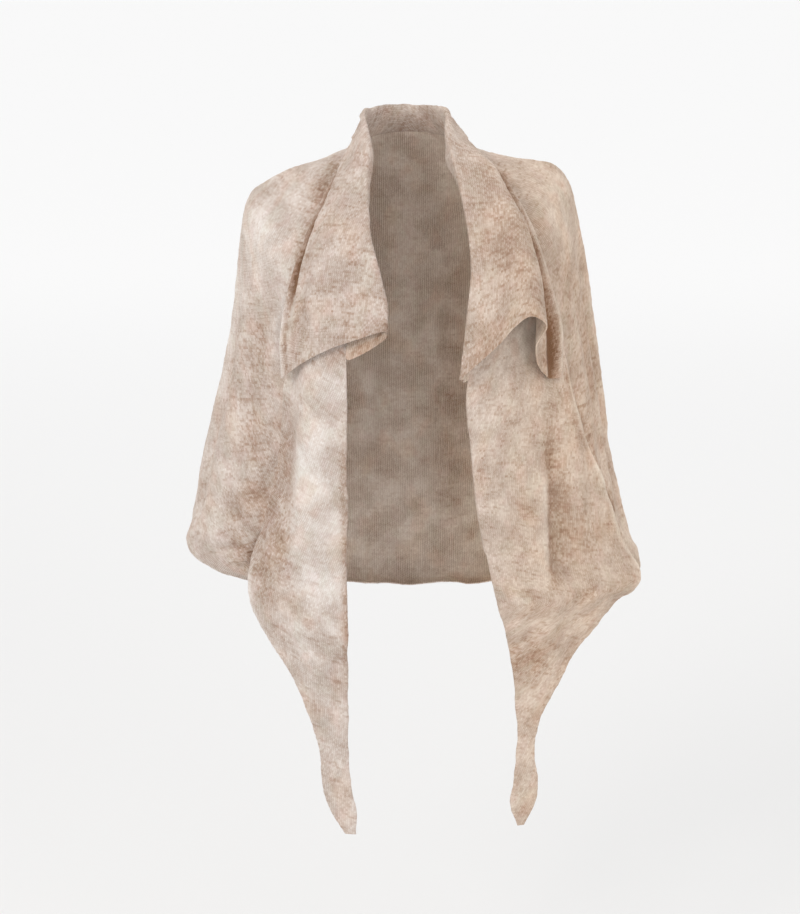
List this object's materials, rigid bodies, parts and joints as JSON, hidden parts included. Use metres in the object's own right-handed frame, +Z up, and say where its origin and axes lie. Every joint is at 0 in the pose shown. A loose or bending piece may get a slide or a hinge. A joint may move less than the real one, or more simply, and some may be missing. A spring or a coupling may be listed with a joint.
{
  "type": "batwing wrap cardigan with a wide folded collar and two front tails, hanging hollow as worn",
  "caption": "Fine brushed knit batwing cardigan in heathered beige, worn open with a wide folded collar, arm slits, a turned-under hem and long pointed front tails",
  "frame": {"origin": "middle of the neck, level with the shoulder points, where the wearer's neck and shoulders hold the garment up", "axes": "+Z up, the wearer faces -Y, +X to the wearer's left"},
  "size_m": [0.6341, 0.3311, 0.9785],
  "materials": {
    "brushed_knit": "soft brushed fine stocking knit, matt with a fuzzy halo, heathered in cream, beige and taupe"
  },
  "bodies": {
    "root": {"back": "brushed_knit", "front_right": "brushed_knit", "front_left": "brushed_knit", "sleeve_right": "brushed_knit", "sleeve_left": "brushed_knit", "collar": "brushed_knit"}
  },
  "joints": []
}
